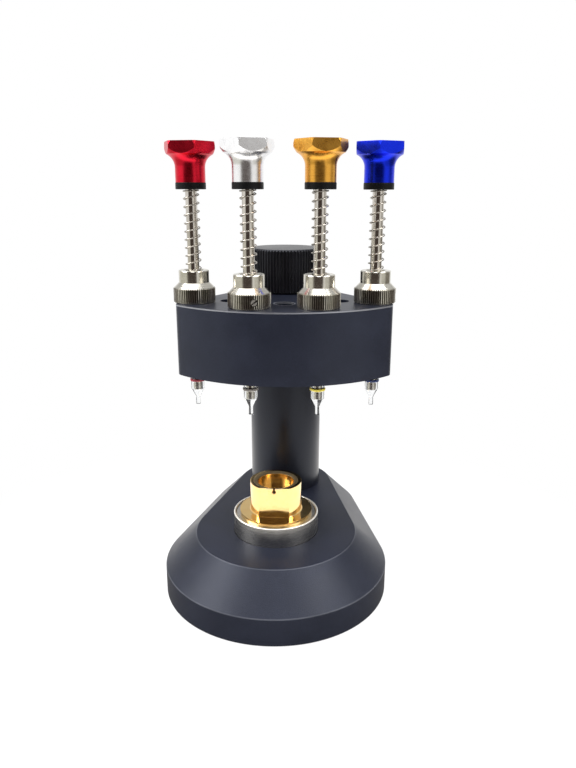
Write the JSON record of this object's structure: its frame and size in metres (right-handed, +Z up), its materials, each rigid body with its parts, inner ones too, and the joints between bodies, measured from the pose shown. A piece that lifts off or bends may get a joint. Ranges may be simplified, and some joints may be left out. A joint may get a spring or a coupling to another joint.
{
  "type": "watch hand press",
  "caption": "Bench press for setting watch hands: a turning fan-shaped head with sprung push plungers over a brass movement holder on a sloped base.",
  "frame": {"origin": "on the bench, under the axis of the movement holder", "axes": "+Z up along the holder and the column, +Y from the holder to the column, +X to the right seen from the front"},
  "size_m": [0.0819, 0.1142, 0.1556],
  "materials": {
    "anodised_black": "fine-blasted black anodising with a cool blue cast, satin",
    "pad_rubber": "black non-slip sheet, matt",
    "ring_steel": "steel turned and brushed round its axis, bright lip",
    "fastener_steel": "plain steel screws, stud and washer",
    "holder_brass": "brass, turned and polished",
    "clamp_black": "black anodised, straight knurl, satin",
    "bush_brass": "plain turned bearing brass",
    "nut_nickel": "nickel plated, bright cone and neck, straight knurled band",
    "spring_steel": "bare spring wire",
    "rod_steel": "ground and polished steel rod",
    "bumper_black": "black plastic, satin",
    "knob_red": "red anodised, bright turned",
    "knob_silver": "clear anodised, bright turned",
    "knob_gold": "gold anodised, bright turned",
    "knob_blue": "blue anodised, bright turned",
    "tip_clear": "clear plastic, polished",
    "marker_red": "red ring, satin",
    "marker_grey": "grey ring, satin",
    "marker_yellow": "yellow ring, satin",
    "marker_blue": "blue ring, satin"
  },
  "bodies": {
    "stand": {"base": "anodised_black", "base_pad": "pad_rubber", "seat_ring": "ring_steel", "seat_screws": "fastener_steel", "column": "anodised_black", "column_bolt": "fastener_steel", "clamp_stud": "fastener_steel"},
    "holder": {"movement_holder": "holder_brass"},
    "head_unit": {"head": "anodised_black", "nut_grub_screws": "fastener_steel", "guide_bush_1": "bush_brass", "guide_bush_2": "bush_brass", "guide_bush_3": "bush_brass", "guide_bush_4": "bush_brass", "stop_nut_1": "nut_nickel", "stop_nut_2": "nut_nickel", "stop_nut_3": "nut_nickel", "stop_nut_4": "nut_nickel", "spring_1": "spring_steel", "spring_2": "spring_steel", "spring_3": "spring_steel", "spring_4": "spring_steel"},
    "washer": {"thrust_washer": "fastener_steel"},
    "clamp": {"clamp_knob": "clamp_black"},
    "plunger_red": {"plunger_rod_1": "rod_steel", "bumper_collar_1": "bumper_black", "push_knob_red": "knob_red", "tip_1": "tip_clear", "marker_ring_1": "marker_red"},
    "plunger_silver": {"plunger_rod_2": "rod_steel", "bumper_collar_2": "bumper_black", "push_knob_silver": "knob_silver", "tip_2": "tip_clear", "marker_ring_2": "marker_grey"},
    "plunger_gold": {"plunger_rod_3": "rod_steel", "bumper_collar_3": "bumper_black", "push_knob_gold": "knob_gold", "tip_3": "tip_clear", "marker_ring_3": "marker_yellow"},
    "plunger_blue": {"plunger_rod_4": "rod_steel", "bumper_collar_4": "bumper_black", "push_knob_blue": "knob_blue", "tip_4": "tip_clear", "marker_ring_4": "marker_blue"}
  },
  "joints": [
    {"name": "head_turn", "type": "hinge", "parent": "stand", "child": "head_unit", "pos_m": [0, 0.044, 0.09], "axis": [0, 0, 1], "continuous": true},
    {"name": "holder_turn", "type": "hinge", "parent": "stand", "child": "holder", "pos_m": [0, 0, 0.028], "axis": [0, 0, 1], "continuous": true},
    {"name": "clamp_turn", "type": "hinge", "parent": "washer", "child": "clamp", "pos_m": [0, 0.044, 0.11], "axis": [0, 0, 1], "range_deg": [0, 180]},
    {"name": "clamp_lift", "type": "slide", "parent": "stand", "child": "washer", "axis": [0, 0, 1], "range_m": [0, 0.000624]},
    {"name": "push_red", "type": "slide", "parent": "head_unit", "child": "plunger_red", "axis": [0, 0, -1], "range_m": [0, 0.024], "stiffness_N_per_m": 150, "springref_m": -0.006, "deforming": ["spring_1"]},
    {"name": "push_silver", "type": "slide", "parent": "head_unit", "child": "plunger_silver", "axis": [0, 0, -1], "range_m": [0, 0.024], "stiffness_N_per_m": 150, "springref_m": -0.006, "deforming": ["spring_2"]},
    {"name": "push_gold", "type": "slide", "parent": "head_unit", "child": "plunger_gold", "axis": [0, 0, -1], "range_m": [0, 0.024], "stiffness_N_per_m": 150, "springref_m": -0.006, "deforming": ["spring_3"]},
    {"name": "push_blue", "type": "slide", "parent": "head_unit", "child": "plunger_blue", "axis": [0, 0, -1], "range_m": [0, 0.024], "stiffness_N_per_m": 150, "springref_m": -0.006, "deforming": ["spring_4"]}
  ],
  "couplings": [
    {"joint": "clamp_turn", "follows": "clamp_lift", "rad_per_m": 5026.5}
  ]
}
